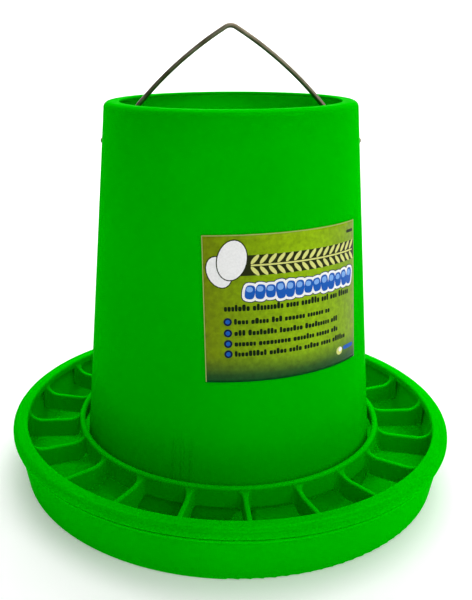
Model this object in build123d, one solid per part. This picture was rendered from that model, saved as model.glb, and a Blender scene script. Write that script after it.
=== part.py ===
from build123d import *
import math
import os

# Gravity poultry feeder, in millimetres. +Z is up and the origin is the centre of the
# base, on the surface it stands on. The front, where the label is, faces -Y. Azimuths
# are degrees from the front, positive towards +X, so they grow anticlockwise from above.

# Pan: a shallow round trough with a spreading cone in its middle
BASE_R = 179.4          # outer radius of the foot
WALL_TOP_R = 186.0      # outer radius of the wall just under its lip
LIP_R = 188.8           # outer radius of the lip
LIP_Z = 36.4            # underside of the lip
LIP_T = 2.4
PAN_TOP_Z = 45.7        # top edge of the wall, inside the guard's rim
PAN_T = 2.5             # wall and floor thickness
CONE_R = 96.0           # radius of the spreading cone at the floor
CONE_H = 72.0           # height of its outside above the ground

# Hopper: a tapering tube, narrower at the top, with an inward flange round its mouth
HOPPER_TOP_Z = 318.4
HOPPER_TOP_R = 102.6
HOPPER_TAPER = 0.0765   # growth in radius for each millimetre down
HOPPER_T = 2.2
MOUTH_R = 90.0          # inner edge of the flange
FOOT_Z = 3.3            # underside of the hopper's four feet
WINDOW_TOP_Z = 20.0     # top of the feed windows between the feet
WINDOW_HALF_ANGLE = 27.0

# Bayonet: four lugs inside the hopper turn under four hooks on the pan
LUG_COUNT = 4
LUG_AZIMUTH = -16.0
LUG_WIDTH = 16.0
LUG_INNER_R = 111.0
LUG_Z = 24.5
LUG_T = 5.6
RIB_SPACING = 6.8       # the three ribs above each lug
RIB_T = 1.4
RIB_TOP_Z = 82.0
SINK_LINE = 0.35        # how far a rib shows as a raised line on the outside
LEDGE_R = (107.0, 119.0)
LEDGE_TOP_Z = 24.3
LEDGE_T = 3.0
HOOK_ARC = (-6.2, 4.5)  # azimuths of the hook from its lug's, locked
LEDGE_ARC = (-6.2, 27.0)
HOOK_R = 117.5
HOOK_GAP = 0.3          # play over a lug
HOOK_T = 3.0

# Scatter guard: a rim cap, an inner ring and radial fins, moulded in one
GUARD_R = 190.0
GUARD_IN_R = 177.6
GUARD_TOP_Z = 48.0
GUARD_LOW_Z = 39.4
GUARD_T = 2.0
RING_R = (127.6, 132.6)
RING_TOP_Z = 43.6
RING_BEAD_Z = 39.4
RING_LOW_Z = 27.0
FIN_COUNT = 20
FIN_AZIMUTH = 6.0
FIN_T = 4.0
FIN_LOW_Z = 20.0
FIN_DIP_Z = 36.2        # lowest part of the fin's U-shaped top edge

# Bail: one steel wire, its two ends bent out as pins through the hopper wall
WIRE_R = 2.0
PIVOT_Z = 285.0
PIN_TIP_X = 107.2
PIN_CLEARANCE = 0.08
APEX_R = 8.0            # bend at the top of the bail
LEG_R = 303.0           # gentle outward curve of each leg
SHOULDER_ANGLE = 32.0   # slope of a leg beside the top bend
FOOT_ANGLE = 56.0       # slope of a leg beside its pin
PIN_BEND_R = 6.0

# Label: a rectangular sticker wrapped on the hopper
LABEL_AZIMUTH = 25.3
LABEL_HALF_WIDTH = 63.6  # measured straight across, along the tangent
LABEL_Z = (123.0, 233.0)
LABEL_T = 0.3


def hopper_r(z):
    """Outer radius of the hopper at height z."""
    return HOPPER_TOP_R + (HOPPER_TOP_Z - z) * HOPPER_TAPER


def turned(solid, azimuth):
    """A solid drawn on the +X side, turned to an azimuth from the front."""
    return Rot(0, 0, azimuth - 90) * solid


def rounded(face, corners):
    """Fillet the corners of a flat outline: ((x, y), radius) pairs."""
    for point, radius in corners:
        corner = face.vertices().sort_by_distance(Vector(*point, 0))[0]
        face = fillet(corner, radius)
    return face


def outline(points, corners=()):
    """A closed flat outline with some of its corners rounded."""
    return rounded(make_face(Polyline(*points, close=True)), corners)


def spun(points, corners=(), arc=360.0):
    """A body of revolution about Z from an outline of (radius, height) points."""
    return revolve(Plane.XZ * outline(points, corners), axis=Axis.Z, revolution_arc=arc)


def arc_block(radii, heights, azimuths):
    """A block bounded by two radii, two heights and two azimuths."""
    (r0, r1), (z0, z1) = radii, heights
    block = spun([(r0, z0), (r1, z0), (r1, z1), (r0, z1)], arc=azimuths[1] - azimuths[0])
    return turned(block, azimuths[0])


def radial_plate(points, thickness, corners=()):
    """A flat plate in the XZ plane, its outline in (radius, height)."""
    return extrude(Plane.XZ * outline(points, corners), thickness / 2, both=True)


def pan_shell():
    """Wall with its lip, floor and hollow spreading cone, all one thickness."""
    wall_slope = (WALL_TOP_R - BASE_R) / LIP_Z
    rim_r = WALL_TOP_R - PAN_T + 0.5
    in_top = (rim_r - PAN_T, PAN_TOP_Z)
    in_floor = (BASE_R - PAN_T + wall_slope * PAN_T, PAN_T)
    foot = (BASE_R, 0)
    cone_in_r = CONE_R - PAN_T
    points = [
        (0, CONE_H - PAN_T), (cone_in_r, 0), foot, (WALL_TOP_R, LIP_Z), (LIP_R, LIP_Z),
        (LIP_R, LIP_Z + LIP_T), (rim_r, LIP_Z + LIP_T), (rim_r, PAN_TOP_Z), in_top,
        in_floor, (CONE_R, PAN_T), (0, CONE_H),
    ]
    corners = [
        (foot, 3.0), (in_floor, 4.0), ((CONE_R, PAN_T), 12.0), ((LIP_R, LIP_Z), 1.0),
        ((LIP_R, LIP_Z + LIP_T), 0.8), ((rim_r, PAN_TOP_Z), 0.8), (in_top, 0.8),
    ]
    return spun(points, corners)


def bayonet_hook(azimuth):
    """Ledge on legs with a hook over one end and an end stop at the other."""
    ledge_z = (LEDGE_TOP_Z - LEDGE_T, LEDGE_TOP_Z)
    roof_low = LUG_Z + LUG_T + HOOK_GAP
    roof_top = roof_low + HOOK_T
    start, hook_end = azimuth + HOOK_ARC[0], azimuth + HOOK_ARC[1]
    end = azimuth + LEDGE_ARC[1]
    stop_arc = 1.5
    back_r = (LEDGE_R[0], LEDGE_R[0] + 2.4)
    hook = arc_block(LEDGE_R, ledge_z, (start, end))
    hook += arc_block((LEDGE_R[0], HOOK_R), (roof_low, roof_top), (start, hook_end))
    hook += arc_block(back_r, (PAN_T - 0.5, roof_top), (start, hook_end))
    hook += arc_block((LEDGE_R[0], HOOK_R), (PAN_T - 0.5, roof_top), (start, start + stop_arc))
    hook += arc_block(LEDGE_R, (PAN_T - 0.5, LEDGE_TOP_Z), (hook_end, hook_end + stop_arc))
    hook += arc_block(LEDGE_R, (PAN_T - 0.5, roof_low), (end - stop_arc, end))
    return hook


def make_pan():
    pan = pan_shell()
    for azimuth in lug_azimuths():
        pan += bayonet_hook(azimuth)
    return pan


def lug_azimuths():
    return [LUG_AZIMUTH + i * 360 / LUG_COUNT for i in range(LUG_COUNT)]


def hopper_shell():
    """Tapering wall, rounded shoulder and the inward flange round the mouth."""
    top, under = HOPPER_TOP_Z, HOPPER_TOP_Z - HOPPER_T
    shoulder = (hopper_r(top), top)
    inner_corner = (hopper_r(under) - HOPPER_T, under)
    points = [
        (hopper_r(FOOT_Z), FOOT_Z), shoulder, (MOUTH_R, top), (MOUTH_R, under),
        inner_corner, (hopper_r(FOOT_Z) - HOPPER_T, FOOT_Z),
    ]
    corners = [(shoulder, 5.0), (inner_corner, 2.8), ((MOUTH_R, top), 0.9), ((MOUTH_R, under), 0.9)]
    return spun(points, corners)


def feed_window():
    """Cutter for one window in the hopper's lower edge, with rounded top corners."""
    half = hopper_r(0) * math.sin(math.radians(WINDOW_HALF_ANGLE))
    corners = [((-half, WINDOW_TOP_Z), 9.0), ((half, WINDOW_TOP_Z), 9.0)]
    shape = outline([(-half, -1), (half, -1), (half, WINDOW_TOP_Z), (-half, WINDOW_TOP_Z)], corners)
    return Pos(X=100) * extrude(Plane.YZ * shape, 40)


def lug_with_ribs():
    """Bayonet lug and the three ribs above it, on the +X side of the hopper."""
    wall_r = hopper_r(LUG_Z) - HOPPER_T / 2
    lug = Pos((LUG_INNER_R + wall_r) / 2, 0, LUG_Z + LUG_T / 2) * Box(
        wall_r - LUG_INNER_R, LUG_WIDTH, LUG_T)
    rib_low = LUG_Z + LUG_T - 0.5
    rib = radial_plate(
        [(HOOK_R + 1.0, rib_low), (hopper_r(rib_low) - 1.2, rib_low),
         (hopper_r(RIB_TOP_Z) - 1.2, RIB_TOP_Z), (hopper_r(RIB_TOP_Z) - HOPPER_T, RIB_TOP_Z)],
        RIB_T)
    low, top = WINDOW_TOP_Z, RIB_TOP_Z
    line = radial_plate(
        [(hopper_r(low) - 1.0, low), (hopper_r(low) + SINK_LINE, low),
         (hopper_r(top - 8) + SINK_LINE, top - 8), (hopper_r(top) - 0.1, top),
         (hopper_r(top) - 1.0, top)],
        RIB_T * 0.8)
    for i in (-1, 0, 1):
        turn = math.degrees(i * RIB_SPACING / hopper_r(LUG_Z))
        lug += Rot(0, 0, turn) * rib
        lug += Rot(0, 0, turn) * line
    return lug


def pin_axis(x):
    """Where a bail pin crosses the hopper wall, pointing along +X."""
    return Pos(x, 0, PIVOT_Z) * Rot(0, 90, 0)


def make_hopper():
    hopper = hopper_shell()
    window = feed_window()
    lug = lug_with_ribs()
    for azimuth in lug_azimuths():
        hopper -= turned(window, azimuth + 180 / LUG_COUNT)
        hopper += turned(lug, azimuth)
    for side in (-1, 1):
        hopper -= pin_axis(side * HOPPER_TOP_R) * Cylinder(WIRE_R + PIN_CLEARANCE, 20)
    return hopper


def guard_rim():
    """Rounded cap that hooks over the top of the pan wall."""
    points = [
        (GUARD_IN_R, GUARD_LOW_Z + 1), (GUARD_IN_R, GUARD_TOP_Z), (GUARD_R, GUARD_TOP_Z),
        (GUARD_R, GUARD_LOW_Z), (GUARD_R - GUARD_T, GUARD_LOW_Z),
        (GUARD_R - GUARD_T, GUARD_TOP_Z - GUARD_T),
        (GUARD_IN_R + GUARD_T, GUARD_TOP_Z - GUARD_T),
        (GUARD_IN_R + GUARD_T, GUARD_LOW_Z + 1),
    ]
    corners = [((GUARD_IN_R, GUARD_TOP_Z), 1.8), ((GUARD_R, GUARD_TOP_Z), 4.6),
               ((GUARD_R - GUARD_T, GUARD_TOP_Z - GUARD_T), 2.6)]
    return spun(points, corners)


def guard_ring():
    """Inner ring: a rounded bead on a thin skirt."""
    r0, r1 = RING_R
    skirt_r = r1 - 2.6
    points = [(skirt_r, RING_LOW_Z), (r1, RING_LOW_Z), (r1, RING_TOP_Z), (r0, RING_TOP_Z),
              (r0, RING_BEAD_Z), (skirt_r, RING_BEAD_Z)]
    corners = [((r1, RING_TOP_Z), 2.0), ((r0, RING_TOP_Z), 2.0)]
    return spun(points, corners)


def guard_fin():
    """One radial fin on the +X side, its top edge a flat-bottomed U."""
    ring_r, rim_r = RING_R[1] - 1.3, GUARD_IN_R + 1.0
    ring_dip, rim_dip = ring_r + 7.0, rim_r - 8.0
    points = [
        (ring_r, FIN_LOW_Z + 7), (ring_r, RING_TOP_Z - 0.9), (ring_dip, FIN_DIP_Z),
        (rim_dip, FIN_DIP_Z), (rim_r, GUARD_TOP_Z - 1.4), (rim_r, GUARD_LOW_Z + 1),
        (rim_r - 4.0, FIN_LOW_Z), (ring_r + 7.0, FIN_LOW_Z),
    ]
    corners = [((ring_dip, FIN_DIP_Z), 9.0), ((rim_dip, FIN_DIP_Z), 9.0),
               ((rim_r - 4.0, FIN_LOW_Z), 4.0), ((ring_r + 7.0, FIN_LOW_Z), 6.0)]
    return radial_plate(points, FIN_T, corners)


def make_scatter_guard():
    guard = guard_rim() + guard_ring()
    fin = guard_fin()
    guard += [turned(fin, FIN_AZIMUTH + i * 360 / FIN_COUNT) for i in range(FIN_COUNT)]
    return guard


def bail_half():
    """Centre line of the +X half, from the pin's tip up to the top of the bail."""
    foot, shoulder = math.radians(FOOT_ANGLE), math.radians(SHOULDER_ANGLE)
    reach = (PIN_BEND_R * math.sin(foot) + LEG_R * (math.sin(foot) - math.sin(shoulder))
             + APEX_R * math.sin(shoulder))
    pin = Line((PIN_TIP_X, PIVOT_Z), (reach, PIVOT_Z))
    bend = JernArc(pin @ 1, (-1, 0), PIN_BEND_R, -FOOT_ANGLE)
    leg = JernArc(bend @ 1, bend % 1, LEG_R, FOOT_ANGLE - SHOULDER_ANGLE)
    apex = JernArc(leg @ 1, leg % 1, APEX_R, SHOULDER_ANGLE)
    return [pin, bend, leg, apex]


def make_bail_handle():
    path = Plane.XZ * Curve(bail_half())
    start = Plane(origin=(PIN_TIP_X, 0, PIVOT_Z), z_dir=(-1, 0, 0))
    half = sweep(start * Circle(WIRE_R), path=path)
    tip = half.edges().sort_by(Axis.X)[-1]
    half = chamfer(tip, 0.5)
    return half + mirror(half, Plane.YZ)


def make_label():
    """Thin conical patch, cut square so that it unwraps to a rectangle."""
    low, top = LABEL_Z
    sheet = spun([(hopper_r(low), low), (hopper_r(low) + LABEL_T, low),
                  (hopper_r(top) + LABEL_T, top), (hopper_r(top), top)], arc=100)
    sheet = Rot(0, 0, -50) * sheet
    window = Pos(100, 0, (low + top) / 2) * Box(100, 2 * LABEL_HALF_WIDTH, 2 * (top - low))
    return turned(sheet & window, LABEL_AZIMUTH)


PARTS = {
    "pan": make_pan,
    "scatter_guard": make_scatter_guard,
    "hopper": make_hopper,
    "bail_handle": make_bail_handle,
    "label": make_label,
}

os.makedirs("parts", exist_ok=True)
for node, make in PARTS.items():
    export_step(make(), f"parts/{node}.step")
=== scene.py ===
import math
import random

import bmesh
import bpy
from mathutils import Matrix, Vector


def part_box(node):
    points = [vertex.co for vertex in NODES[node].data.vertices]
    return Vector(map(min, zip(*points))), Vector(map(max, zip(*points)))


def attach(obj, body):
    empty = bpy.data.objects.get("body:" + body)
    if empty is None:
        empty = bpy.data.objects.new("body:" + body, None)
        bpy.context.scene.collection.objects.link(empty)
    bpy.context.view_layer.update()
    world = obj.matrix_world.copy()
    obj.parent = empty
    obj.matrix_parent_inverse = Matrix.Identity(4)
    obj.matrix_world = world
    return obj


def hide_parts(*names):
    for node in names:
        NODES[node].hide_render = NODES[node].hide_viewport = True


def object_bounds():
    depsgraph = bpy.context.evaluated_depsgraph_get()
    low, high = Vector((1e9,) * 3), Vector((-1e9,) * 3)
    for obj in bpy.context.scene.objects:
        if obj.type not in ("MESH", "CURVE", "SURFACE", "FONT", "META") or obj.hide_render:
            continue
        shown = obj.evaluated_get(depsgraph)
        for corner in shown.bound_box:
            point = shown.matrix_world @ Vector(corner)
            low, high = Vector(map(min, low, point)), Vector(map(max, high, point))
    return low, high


# Gravity poultry feeder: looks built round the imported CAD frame. Metres, +Z up, front -Y.
# Azimuths are degrees from the front, positive towards +X.

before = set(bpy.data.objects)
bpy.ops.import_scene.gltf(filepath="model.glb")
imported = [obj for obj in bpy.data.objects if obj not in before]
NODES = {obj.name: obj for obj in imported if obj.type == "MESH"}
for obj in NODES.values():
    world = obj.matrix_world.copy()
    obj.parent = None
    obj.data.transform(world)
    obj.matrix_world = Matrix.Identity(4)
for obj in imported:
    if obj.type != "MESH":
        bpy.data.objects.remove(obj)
CAD_BOX = [list(corner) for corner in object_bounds()]
MM = 0.001
RIM_R = (CAD_BOX[1][0] - CAD_BOX[0][0]) / 2

# The hopper's cone: height and outer radius of its foot, and radius lost per unit of height
HOPPER_LOW, HOPPER_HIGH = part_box("hopper")
HOPPER_FOOT_R = HOPPER_HIGH.x
HOPPER_TAPER = 0.0765

# ---------------------------------------------------------------- mesh helpers


def finish_mesh(name, bm, body, materials):
    """Turns a bmesh into a smooth-shaded piece that rides on a body."""
    bmesh.ops.recalc_face_normals(bm, faces=bm.faces)
    mesh = bpy.data.meshes.new(name)
    bm.to_mesh(mesh)
    bm.free()
    mesh.shade_smooth()
    mesh.set_sharp_from_angle(angle=math.radians(35))
    for material in materials:
        mesh.materials.append(material)
    piece = bpy.data.objects.new(name, mesh)
    bpy.context.scene.collection.objects.link(piece)
    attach(piece, body)
    return piece


def rounded_loop(corners, steps=5):
    """A closed outline from (x, y, radius) corners, each radius drawn as an arc."""
    points = []
    count = len(corners)
    for i, (x, y, radius) in enumerate(corners):
        here = Vector((x, y))
        if radius <= 0:
            points.append(here)
            continue
        before = (Vector(corners[i - 1][:2]) - here).normalized()
        after = (Vector(corners[(i + 1) % count][:2]) - here).normalized()
        half = before.angle(after) / 2
        reach = radius / math.tan(half)
        centre = here + (before + after).normalized() * (radius / math.sin(half))
        first, last = here + before * reach - centre, here + after * reach - centre
        for k in range(steps + 1):
            points.append(centre + first.slerp(last, k / steps) * radius)
    return points


def polar(radius, azimuth, z):
    """A point from its radius, azimuth from the front and height."""
    a = math.radians(azimuth)
    return Vector((radius * math.sin(a), -radius * math.cos(a), z))


def add_lathe(bm, loop, segments):
    """A closed outline of (radius, height) turned all the way round Z."""
    rings = [[bm.verts.new(polar(r, 360 * s / segments, z)) for r, z in loop]
             for s in range(segments)]
    for s in range(segments):
        a, b = rings[s], rings[(s + 1) % segments]
        for i in range(len(loop)):
            j = (i + 1) % len(loop)
            bm.faces.new((a[i], a[j], b[j], b[i]))


def add_loft(bm, sections):
    """A closed body through a list of rings with the same number of points."""
    rings = [[bm.verts.new(p) for p in section] for section in sections]
    for a, b in zip(rings, rings[1:]):
        for i in range(len(a)):
            j = (i + 1) % len(a)
            bm.faces.new((a[i], a[j], b[j], b[i]))
    bm.faces.new(rings[0])
    bm.faces.new(reversed(rings[-1]))


# ---------------------------------------------------------------- materials


class Nodes:
    """A short way to wire a material's nodes."""

    def __init__(self, name):
        self.material = bpy.data.materials.new(name)
        self.material.use_nodes = True
        self.tree = self.material.node_tree
        self.shader = self.tree.nodes["Principled BSDF"]

    def add(self, kind, **values):
        node = self.tree.nodes.new(kind)
        for key, value in values.items():
            if key in node.inputs:
                node.inputs[key].default_value = value
            else:
                setattr(node, key, value)
        return node

    def link(self, source, target):
        self.tree.links.new(source, target)

    def value(self, name, number):
        self.shader.inputs[name].default_value = number

    def noise(self, scale, detail=2.0, rough=0.5):
        where = self.add("ShaderNodeTexCoord")
        noise = self.add("ShaderNodeTexNoise", Scale=scale, Detail=detail, Roughness=rough)
        self.link(where.outputs["Object"], noise.inputs["Vector"])
        return noise.outputs["Fac"]

    def ramp(self, source, stops):
        ramp = self.add("ShaderNodeValToRGB")
        while len(ramp.color_ramp.elements) < len(stops):
            ramp.color_ramp.elements.new(0.5)
        for element, (place, colour) in zip(ramp.color_ramp.elements, stops):
            element.position = place
            element.color = colour if len(colour) == 4 else (*colour, 1)
        self.link(source, ramp.inputs["Fac"])
        return ramp.outputs["Color"]

    def map(self, source, low, high):
        node = self.add("ShaderNodeMapRange")
        node.inputs["To Min"].default_value = low
        node.inputs["To Max"].default_value = high
        self.link(source, node.inputs["Value"])
        return node.outputs["Result"]

    def bump(self, source, strength, distance, under=None):
        node = self.add("ShaderNodeBump", Strength=strength, Distance=distance)
        self.link(source, node.inputs["Height"])
        if under:
            self.link(under, node.inputs["Normal"])
        return node.outputs["Normal"]


def green_plastic(name, dark, light, depth):
    """Moulded polypropylene: faint clouding, orange peel and dull patches. Light goes some
    way into it (depth, in metres), and a little metallic keeps its shine green."""
    m = Nodes(name)
    clouds = m.noise(9.0, 3.0)
    m.link(m.ramp(clouds, [(0.30, dark), (0.70, light)]), m.shader.inputs["Base Color"])
    m.link(m.map(m.noise(22.0, 4.0), 0.16, 0.26), m.shader.inputs["Roughness"])
    peel = m.bump(m.noise(340.0, 1.0), 0.05, 0.0004)
    m.link(m.bump(m.noise(28.0, 1.0), 0.06, 0.0012, peel), m.shader.inputs["Normal"])
    m.value("IOR", 1.45)
    m.value("Specular IOR Level", 0.0)
    m.value("Specular Tint", (0.0, 1.0, 0.0, 1.0))
    m.value("Metallic", 0.05)
    m.value("Subsurface Weight", 0.65)
    m.value("Subsurface Radius", (0.1, 1.0, 0.1))
    m.value("Subsurface Scale", depth)
    return m.material


DEEP_GREEN, LEAF_GREEN = (0.0, 0.40, 0.0), (0.0, 0.45, 0.0)
PAN_PLASTIC = green_plastic("pan_plastic", (0.0, 0.42, 0.0), (0.0, 0.47, 0.0), 0.010)
HOPPER_PLASTIC = green_plastic("hopper_plastic", DEEP_GREEN, LEAF_GREEN, 0.010)
GUARD_PLASTIC = green_plastic("guard_plastic", (0.0, 0.42, 0.0), (0.0, 0.47, 0.0), 0.006)


def wire_steel():
    """Drawn steel wire: fine grain and a warm, tarnished tone."""
    m = Nodes("drawn_wire")
    tone = m.noise(60.0, 4.0)
    m.link(m.ramp(tone, [(0.3, (0.10, 0.08, 0.04)), (0.7, (0.30, 0.26, 0.19))]),
           m.shader.inputs["Base Color"])
    m.value("Metallic", 1.0)
    m.link(m.map(m.noise(400.0, 3.0), 0.22, 0.42), m.shader.inputs["Roughness"])
    m.link(m.bump(m.noise(900.0, 2.0), 0.15, 0.0001), m.shader.inputs["Normal"])
    return m.material


def print_ink(name, colour):
    """A printed colour with the light grain of ink on vinyl."""
    m = Nodes(name)
    dark = tuple(c * 0.93 for c in colour)
    m.link(m.ramp(m.noise(700.0, 2.0), [(0.35, dark), (0.65, colour)]),
           m.shader.inputs["Base Color"])
    m.link(m.map(m.noise(90.0, 2.0), 0.30, 0.40), m.shader.inputs["Roughness"])
    m.value("Specular IOR Level", 0.06)
    return m.material


def label_ground():
    """Label background: mottled lime, olive at its edges, deep green along the bottom."""
    m = Nodes("label_ground")
    uv = m.add("ShaderNodeUVMap", uv_map="label")
    split = m.add("ShaderNodeSeparateXYZ")
    m.link(uv.outputs["UV"], split.inputs["Vector"])
    across = m.ramp(split.outputs["X"], [
        (0.0, (0.17, 0.24, 0.0)), (0.25, (0.21, 0.35, 0.0)), (0.6, (0.28, 0.48, 0.0)),
        (1.0, (0.19, 0.32, 0.0))])
    band = m.ramp(split.outputs["Y"], [
        (0.0, (1, 1, 1)), (0.05, (0.9, 0.9, 0.9)), (0.19, (0, 0, 0)), (1.0, (0, 0, 0))])
    mix = m.add("ShaderNodeMix", data_type="RGBA")
    m.link(band, mix.inputs["Factor"])
    m.link(across, mix.inputs["A"])
    mix.inputs["B"].default_value = (0.0, 0.060, 0.013, 1)
    mottle = m.add("ShaderNodeMix", data_type="RGBA", blend_type="OVERLAY")
    mottle.inputs["Factor"].default_value = 0.45
    m.link(mix.outputs["Result"], mottle.inputs["A"])
    grain = m.ramp(m.noise(240.0, 5.0, 0.65),
                   [(0.32, (0.25, 0.25, 0.25)), (0.68, (0.75, 0.75, 0.75))])
    m.link(grain, mottle.inputs["B"])
    m.link(mottle.outputs["Result"], m.shader.inputs["Base Color"])
    m.link(m.map(m.noise(60.0, 2.0), 0.26, 0.36), m.shader.inputs["Roughness"])
    m.value("Specular IOR Level", 0.08)
    return m.material


# ---------------------------------------------------------------- scatter guard

# Sizes of the guard, in millimetres. They follow the CAD node, but the fins' ends flare and
# the rim's foot is a little higher, so the groove above the pan's lip shows
FINS = 20
FIRST_FIN = 6.0
RING_IN, RING_OUT = 127.6, 132.6
RIM_IN = 177.6
RIM_OUT = RIM_R / MM
RIM_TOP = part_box("scatter_guard")[1].z / MM
FIN_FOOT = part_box("scatter_guard")[0].z / MM
RING_TOP, RING_FOOT = 43.6, 27.0
RIM_FOOT = 40.2
RING_LEDGE = 39.4
FIN_DIP = 36.2
FIN_HALF = 2.0
FIN_SPAN = RIM_IN - RING_OUT
# the part of a fin's length over which its top rises, at either end
FIN_RISE = 0.26
# how far a fin widens at its ends, and how far its foot rises at the ring and at the rim
FIN_FLARE = 4.2
RING_HEEL, RIM_HEEL = 7.0, 3.0
HOOP_SEGMENTS = 240
FIN_STEPS = 44


def fin_top(s):
    """Height of a fin's U-shaped top edge, s from 0 at the ring to 1 at the rim."""
    ends = RING_TOP - 0.9 if s < 0.5 else RIM_TOP - 1.2
    t = min(s, 1 - s) / FIN_RISE
    if t >= 1:
        return FIN_DIP
    return FIN_DIP + (ends - FIN_DIP) * (1 - math.sqrt(1 - (1 - t) ** 2))


def fin_half_width(s):
    """Half thickness of a fin: it flares where it runs into the ring and the rim."""
    gap = min(s, 1 - s) * FIN_SPAN
    if gap >= FIN_FLARE:
        return FIN_HALF
    return FIN_HALF + 0.8 * FIN_FLARE * (1 - math.sqrt(1 - (1 - gap / FIN_FLARE) ** 2))


def fin_section(s, azimuth):
    """One cross-section of a fin, its top edges rounded; s just outside 0 to 1 carries
    the end section on into the ring or the rim."""
    radius = RING_OUT + s * FIN_SPAN
    shape = min(max(s, 0), 1)
    half, top = fin_half_width(shape), fin_top(shape)
    foot = FIN_FOOT + RING_HEEL * max(0.0, 1 - shape / 0.12) ** 2
    foot += RIM_HEEL * max(0.0, 1 - (1 - shape) / 0.06) ** 2
    loop = rounded_loop([(-half, foot, 0.4), (half, foot, 0.4), (half, top, 1.3),
                         (-half, top, 1.3)], 3)
    out, side = polar(1, azimuth, 0), polar(1, azimuth + 90, 0)
    return [(out * radius + side * x + Vector((0, 0, z))) * MM for x, z in loop]


def make_guard():
    """Rim cap, inner ring and fins as one closed body."""
    rim = rounded_loop([
        (RIM_IN, RIM_FOOT + 1, 0.6), (RIM_IN, RIM_TOP, 2.2), (RIM_OUT, RIM_TOP, 5.2),
        (RIM_OUT, RIM_FOOT, 0.5), (RIM_OUT - 2, RIM_FOOT, 0.5), (RIM_OUT - 2, RIM_TOP - 2, 3.0),
        (RIM_IN + 2, RIM_TOP - 2, 0.5), (RIM_IN + 2, RIM_FOOT + 1, 0.6)], 6)
    ring = rounded_loop([
        (RING_OUT - 2.6, RING_FOOT, 0.6), (RING_OUT, RING_FOOT, 0.6), (RING_OUT, RING_TOP, 2.2),
        (RING_IN, RING_TOP, 2.2), (RING_IN, RING_LEDGE, 0.6),
        (RING_OUT - 2.6, RING_LEDGE, 0)], 6)
    hoops = bmesh.new()
    add_lathe(hoops, [p * MM for p in rim], HOOP_SEGMENTS)
    add_lathe(hoops, [p * MM for p in ring], HOOP_SEGMENTS)
    # stations along a fin, closer together at its two ends
    overlap = 1.2 / FIN_SPAN
    stations = [-overlap]
    stations += [0.5 - 0.5 * math.cos(math.pi * k / FIN_STEPS) for k in range(FIN_STEPS + 1)]
    stations.append(1 + overlap)
    fins = bmesh.new()
    for i in range(FINS):
        azimuth = FIRST_FIN + i * 360 / FINS
        add_loft(fins, [fin_section(s, azimuth) for s in stations])
    guard = finish_mesh("guard_shell", hoops, "guard", [GUARD_PLASTIC])
    fin_piece = finish_mesh("guard_fins", fins, "guard", [GUARD_PLASTIC])
    union = guard.modifiers.new("union", "BOOLEAN")
    union.operation, union.solver, union.object = "UNION", "EXACT", fin_piece
    whole = bpy.data.meshes.new_from_object(guard.evaluated_get(
        bpy.context.evaluated_depsgraph_get()))
    guard.modifiers.clear()
    guard.data = whole
    bpy.data.objects.remove(fin_piece)
    whole.shade_smooth()
    whole.set_sharp_from_angle(angle=math.radians(32))
    guard.modifiers.new("weights", "WEIGHTED_NORMAL").keep_sharp = True
    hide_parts("scatter_guard")


# ---------------------------------------------------------------- label

LABEL_LOW, LABEL_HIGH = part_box("label")
LABEL_HEIGHT = LABEL_HIGH.z - LABEL_LOW.z
LABEL_WIDTH = 0.136
LABEL_AZIMUTH = 25.3
LABEL_MID_Z = (LABEL_LOW.z + LABEL_HIGH.z) / 2
LABEL_LIFT = 0.0003
INK_LAYER = 0.00006
INKS = {"white": (0.95, 0.95, 0.94), "banner": (0.020, 0.026, 0.004), "straw": (0.72, 0.74, 0.22),
        "navy": (0.004, 0.012, 0.055), "blue": (0.010, 0.110, 0.50), "sky": (0.22, 0.44, 0.86),
        "black": (0.004, 0.016, 0.002), "edge": (0.42, 0.52, 0.16)}


def hopper_radius(z):
    """Outer radius of the hopper's cone at a height."""
    return HOPPER_FOOT_R - (z - HOPPER_LOW.z) * HOPPER_TAPER


def on_label(u, v, lift):
    """A point of the flat label, in millimetres from its middle, wrapped on the cone."""
    half_angle = math.atan(HOPPER_TAPER)
    slant = hopper_radius(LABEL_MID_Z) / math.sin(half_angle)
    x, y = u * MM, slant - v * MM
    reach, flat_turn = math.hypot(x, y), math.atan2(x, y)
    radius = reach * math.sin(half_angle)
    z = LABEL_MID_Z + (slant - reach) * math.cos(half_angle)
    return polar(radius + lift, LABEL_AZIMUTH + math.degrees(flat_turn / math.sin(half_angle)), z)


def add_patch(bm, outline_rows, lift, material=0, uv=None):
    """A sheet through rows of (u, v) points with the same count, wrapped on the cone. With
    a uv layer it also gets coordinates from 0 to 1 across the label."""
    rows = [[bm.verts.new(on_label(u, v, lift)) for u, v in row] for row in outline_rows]
    for j in range(len(rows) - 1):
        for i in range(len(rows[0]) - 1):
            corners = (rows[j][i], rows[j][i + 1], rows[j + 1][i + 1], rows[j + 1][i])
            face = bm.faces.new(corners)
            face.material_index = material
            if uv:
                places = (outline_rows[j][i], outline_rows[j][i + 1],
                          outline_rows[j + 1][i + 1], outline_rows[j + 1][i])
                for loop, (u, v) in zip(face.loops, places):
                    loop[uv].uv = (u / (LABEL_WIDTH / MM) + 0.5, v / (LABEL_HEIGHT / MM) + 0.5)


def add_blob(bm, centre, half, lift, material, tilt=0.0, power=2.0):
    """A filled superellipse: power 2 is an ellipse, more is a rounded bar."""
    (cu, cv), (hu, hv) = centre, half
    columns = max(8, int(hu * 2 / 1.6))
    turn = math.radians(tilt)
    rows = [[], [], []]
    for i in range(columns + 1):
        x = -math.cos(math.pi * i / columns)
        y = max(1e-3, (1 - abs(x) ** power)) ** (1 / power)
        for row, side in zip(rows, (-1, 0, 1)):
            u, v = x * hu, side * y * hv
            row.append((cu + u * math.cos(turn) - v * math.sin(turn),
                        cv + u * math.sin(turn) + v * math.cos(turn)))
    add_patch(bm, rows, lift, material)


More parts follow.
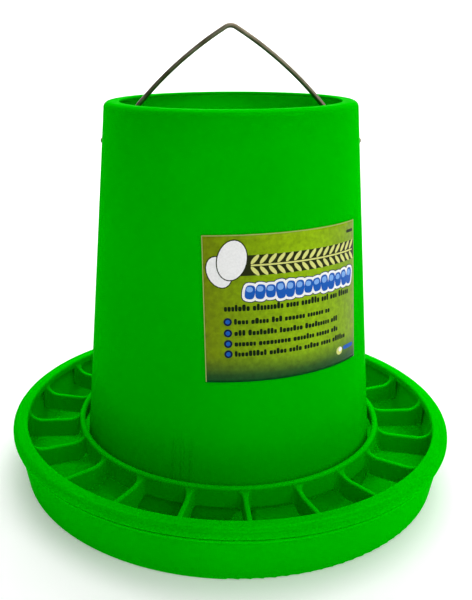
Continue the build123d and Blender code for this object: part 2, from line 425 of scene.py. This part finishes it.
def make_label():
    """The vinyl sheet itself, wrapped on the cone."""
    half_u, half_v = LABEL_WIDTH / MM / 2, LABEL_HEIGHT / MM / 2
    bm = bmesh.new()
    uv = bm.loops.layers.uv.new("label")
    columns, lines = 68, 40
    grid = [[(half_u * (2 * i / columns - 1), half_v * (2 * j / lines - 1))
             for i in range(columns + 1)] for j in range(lines + 1)]
    add_patch(bm, grid, LABEL_LIFT, 0, uv)
    sheet = finish_mesh("label_sheet", bm, "hopper", [label_ground()])
    solid = sheet.modifiers.new("vinyl", "SOLIDIFY")
    solid.thickness, solid.offset = 0.00025, -1
    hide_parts("label")


def make_print():
    """The label's print: thin plain shapes in layers on the sheet. They spell nothing."""
    half_u, half_v = LABEL_WIDTH / MM / 2, LABEL_HEIGHT / MM / 2
    inks = {name: i for i, name in enumerate(INKS)}
    first, second, third = (LABEL_LIFT + k * INK_LAYER for k in (1, 2, 3))
    bm = bmesh.new()

    def bar(u0, u1, v0, v1, level, ink, power):
        add_blob(bm, ((u0 + u1) / 2, (v0 + v1) / 2), ((u1 - u0) / 2, (v1 - v0) / 2), level,
                 inks[ink], 0.0, power)

    # thin pale line along the top and the left of the sheet
    bar(-half_u + 0.3, half_u - 0.3, half_v - 0.8, half_v - 0.2, first, "edge", 60)
    bar(-half_u + 0.2, -half_u + 0.8, -half_v + 0.3, half_v - 0.3, first, "edge", 60)
    # dark banner with a row of plain grain leaves
    bar(-48.5, half_u - 1.0, 24.8, 39.8, first, "banner", 24)
    bar(-33.0, 64.0, 31.7, 32.9, second, "straw", 20)
    for k in range(15):
        for side in (-1, 1):
            add_blob(bm, (-30.0 + k * 6.6, 32.3 + side * 4.3), (4.4, 1.5), second, inks["straw"],
                     side * 48)
    # two plain eggs where the banner starts
    for place, half, tilt, level in (((-56.0, 28.0), (8.4, 11.8), 24, third),
                                     ((-46.5, 36.5), (10.4, 14.6), -14, third + 2 * INK_LAYER)):
        add_blob(bm, place, (half[0] + 0.8, half[1] + 0.8), level - INK_LAYER, inks["banner"], tilt)
        add_blob(bm, place, half, level, inks["white"], tilt)
    # row of blue pebbles with one white outline, under the banner
    rng = random.Random(4)
    for k in range(13):
        u, half, tilt = -34.0 + k * 7.7, rng.uniform(4.8, 6.6), rng.uniform(-12, 12)
        for grow, level, ink in ((2.4, first, "navy"), (1.8, second, "white")):
            add_blob(bm, (u, 12.6), (3.9 + grow, half + grow), level, inks[ink], tilt, 3.0)
        add_blob(bm, (u, 12.6), (3.8, half), third, inks["blue"], tilt, 3.0)
        add_blob(bm, (u - 0.3, 12.6 + half * 0.4), (2.4, half * 0.38), third + 0.00005,
                 inks["sky"], tilt, 2.4)
    # rows of plain strokes stand for the lines of small print
    for start, end, v, height in ((-53.0, 60.0, 1.3, 5.0), (-46.0, 35.0, -8.9, 4.4),
                                  (-46.0, 42.0, -17.4, 4.4), (-46.0, 45.0, -25.4, 4.4),
                                  (-46.0, 54.0, -33.2, 4.4)):
        u = start
        while u < end - 4:
            for _ in range(rng.randint(3, 9)):
                width = rng.uniform(1.9, 2.7)
                if u + width > end:
                    break
                tall = height * rng.choice((0.72, 0.72, 1.0))
                foot = v - height / 2
                bar(u, u + width, foot, foot + tall, first, "black", 3.5)
                u += width + 0.4
            u += 1.8
    for v in (-9.0, -17.5, -25.5, -33.3):
        add_blob(bm, (-50.6, v), (3.1, 3.1), first, inks["navy"])
        add_blob(bm, (-50.6, v), (1.7, 1.7), second, inks["blue"])
    # small plain marks in the lower and upper right corners
    add_blob(bm, (45.0, -44.5), (3.8, 3.2), first, inks["straw"])
    add_blob(bm, (46.0, -43.6), (2.2, 1.8), second, inks["white"])
    bar(50.0, 64.5, -45.2, -42.0, first, "blue", 5)
    bar(55.0, 65.5, 46.2, 48.6, first, "black", 6)
    print_piece = finish_mesh("label_print", bm, "hopper",
                              [print_ink(f"ink_{name}", ink) for name, ink in INKS.items()])


# ---------------------------------------------------------------- CAD nodes that stay


def dress_nodes():
    """Materials of the nodes that keep their CAD mesh."""
    for node, material in (("pan", PAN_PLASTIC), ("hopper", HOPPER_PLASTIC),
                           ("bail_handle", wire_steel())):
        NODES[node].data.materials.clear()
        NODES[node].data.materials.append(material)


# ---------------------------------------------------------------- floor, lights, camera


def make_floor():
    """Pale studio sweep: a floor that curves up into a wall far behind."""
    m = Nodes("pale_sweep")
    m.link(m.ramp(m.noise(3.0, 2.0), [(0.3, (0.90, 0.90, 0.90)), (0.7, (0.93, 0.93, 0.93))]),
           m.shader.inputs["Base Color"])
    m.value("Roughness", 0.85)
    m.value("Specular IOR Level", 0.1)
    m.value("Emission Color", (1.0, 1.0, 1.0, 1.0))
    m.value("Emission Strength", 0.20)
    bm = bmesh.new()
    half, back, bend = 7.0, 3.2, 1.2
    outline = [(-half, 0.0)] + [
        (back + bend * math.sin(a), bend * (1 - math.cos(a)))
        for a in (math.radians(90 * k / 12) for k in range(13))] + [(back + bend, 6.0)]
    left = [bm.verts.new((-half, y, z)) for y, z in outline]
    right = [bm.verts.new((half, y, z)) for y, z in outline]
    for i in range(len(outline) - 1):
        bm.faces.new((left[i], right[i], right[i + 1], left[i + 1]))
    mesh = bpy.data.meshes.new("floor")
    bm.to_mesh(mesh)
    bm.free()
    mesh.shade_smooth()
    mesh.materials.append(m.material)
    floor = bpy.data.objects.new("floor", mesh)
    bpy.context.scene.collection.objects.link(floor)


def area_light(name, place, target, size, power):
    """A rectangular soft box that points at a target."""
    data = bpy.data.lights.new(name, "AREA")
    data.shape = "RECTANGLE"
    data.size, data.size_y = size
    data.energy = power
    light = bpy.data.objects.new(name, data)
    light.location = place
    light.rotation_euler = (Vector(target) - Vector(place)).to_track_quat("-Z", "Y").to_euler()
    bpy.context.scene.collection.objects.link(light)


def make_lights():
    """Soft boxes on the right, in front, above and at the wall, and a pale room."""
    area_light("key", (2.0, -1.3, 1.2), (0, 0, 0.15), (0.8, 1.2), 8)
    area_light("front", (0.5, -1.9, 1.7), (0, 0, 0.15), (1.6, 1.0), 11)
    area_light("top", (0.3, 0.3, 2.2), (0, 0, 0), (1.8, 1.8), 18)
    area_light("backdrop", (0, 1.4, 2.9), (0, 4.0, 0.5), (6.0, 1.0), 190)
    world = bpy.data.worlds.new("studio")
    world.use_nodes = True
    tree = world.node_tree
    # the room is brighter on the right than on the left
    where = tree.nodes.new("ShaderNodeTexCoord")
    split = tree.nodes.new("ShaderNodeSeparateXYZ")
    fall = tree.nodes.new("ShaderNodeMapRange")
    fall.inputs["From Min"].default_value = -1.0
    fall.inputs["To Min"].default_value = 0.13
    fall.inputs["To Max"].default_value = 0.50
    tree.links.new(where.outputs["Generated"], split.inputs["Vector"])
    tree.links.new(split.outputs["X"], fall.inputs["Value"])
    tree.links.new(fall.outputs["Result"], tree.nodes["Background"].inputs["Strength"])
    tree.nodes["Background"].inputs["Color"].default_value = (1, 1, 1, 1)
    bpy.context.scene.world = world
    bpy.context.scene.view_settings.view_transform = "Standard"


def make_camera():
    """Viewing angle: a little above the hopper's mouth, from just left of the front."""
    distance, height = 3.3888 * RIM_R, 1.9299 * RIM_R
    pitch, yaw, roll = (math.radians(a) for a in (15.27, -3.33, -0.38))
    forward = Vector((math.sin(yaw) * math.cos(pitch), math.cos(yaw) * math.cos(pitch),
                      -math.sin(pitch)))
    right = Vector((math.cos(yaw), -math.sin(yaw), 0))
    up = right.cross(forward)
    x = math.cos(roll) * right + math.sin(roll) * up
    y = -math.sin(roll) * right + math.cos(roll) * up
    data = bpy.data.cameras.new("camera")
    data.sensor_width = 36
    data.lens = 46.6
    data.shift_x, data.shift_y = 0.085, -0.083
    camera = bpy.data.objects.new("camera", data)
    camera.matrix_world = Matrix((
        (x.x, y.x, -forward.x, 0), (x.y, y.y, -forward.y, -distance),
        (x.z, y.z, -forward.z, height), (0, 0, 0, 1)))
    bpy.context.scene.collection.objects.link(camera)
    bpy.context.scene.camera = camera


dress_nodes()
make_guard()
make_label()
make_print()
make_floor()
make_lights()
make_camera()
